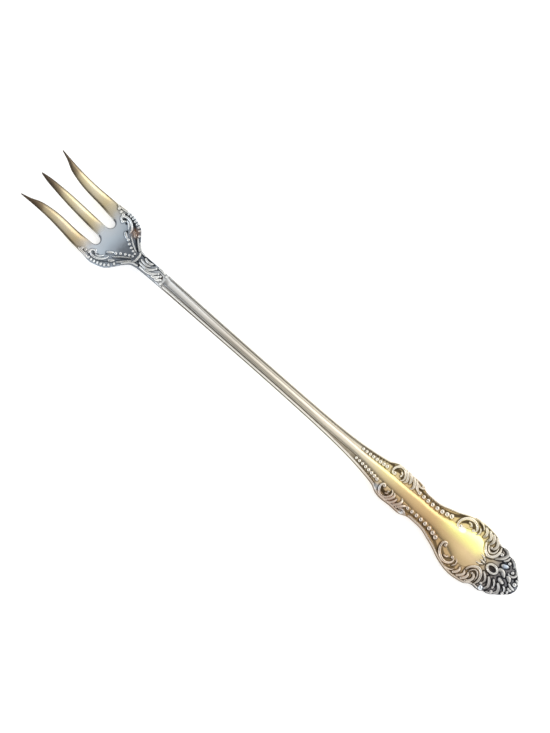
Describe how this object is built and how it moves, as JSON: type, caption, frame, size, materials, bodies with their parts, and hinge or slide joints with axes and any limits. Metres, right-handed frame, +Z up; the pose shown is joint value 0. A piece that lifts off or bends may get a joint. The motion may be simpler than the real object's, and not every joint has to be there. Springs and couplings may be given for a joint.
{
  "type": "oyster fork",
  "caption": "Small three-tined oyster fork with flared tines, a dished bowl, a reeded stem and a crowned handle panel framed by beads, scrolls and a leaf crest.",
  "frame": {"origin": "on the table under the middle of the fork's length and width", "axes": "+Y along the fork towards the tine tips, +X to its right, +Z up out of its decorated face"},
  "size_m": [0.0158, 0.152, 0.0063],
  "materials": {
    "silver": "polished silver, lightly worn, with fine scratches",
    "toned_silver": "polished silver with straw-yellow to brown toning",
    "panel_silver": "polished silver with warm yellow toning",
    "relief_silver": "struck relief, bright on its ridges and dark in its recesses"
  },
  "bodies": {
    "root": {"tine_left": "toned_silver", "tine_middle": "toned_silver", "tine_right": "toned_silver", "bowl": "silver", "neck": "silver", "stem": "silver", "handle": "silver", "crest": "silver", "shank": "panel_silver", "panel": "panel_silver", "stem_reed_left": "relief_silver", "stem_reed_right": "relief_silver", "waist_reed_left": "relief_silver", "waist_reed_right": "relief_silver", "stem_beads_left": "relief_silver", "stem_beads_right": "relief_silver", "handle_beads_left": "relief_silver", "handle_beads_right": "relief_silver", "waist_scroll_left": "relief_silver", "waist_scroll_right": "relief_silver", "end_scroll_left": "relief_silver", "end_scroll_right": "relief_silver", "crest_leaves_left": "relief_silver", "crest_leaves_right": "relief_silver", "crest_eyelet": "relief_silver", "shoulder_border_left": "relief_silver", "shoulder_border_right": "relief_silver", "shoulder_scroll_left": "relief_silver", "shoulder_scroll_right": "relief_silver", "shoulder_beads_left": "relief_silver", "shoulder_beads_right": "relief_silver", "neck_leaves": "relief_silver"}
  },
  "joints": []
}
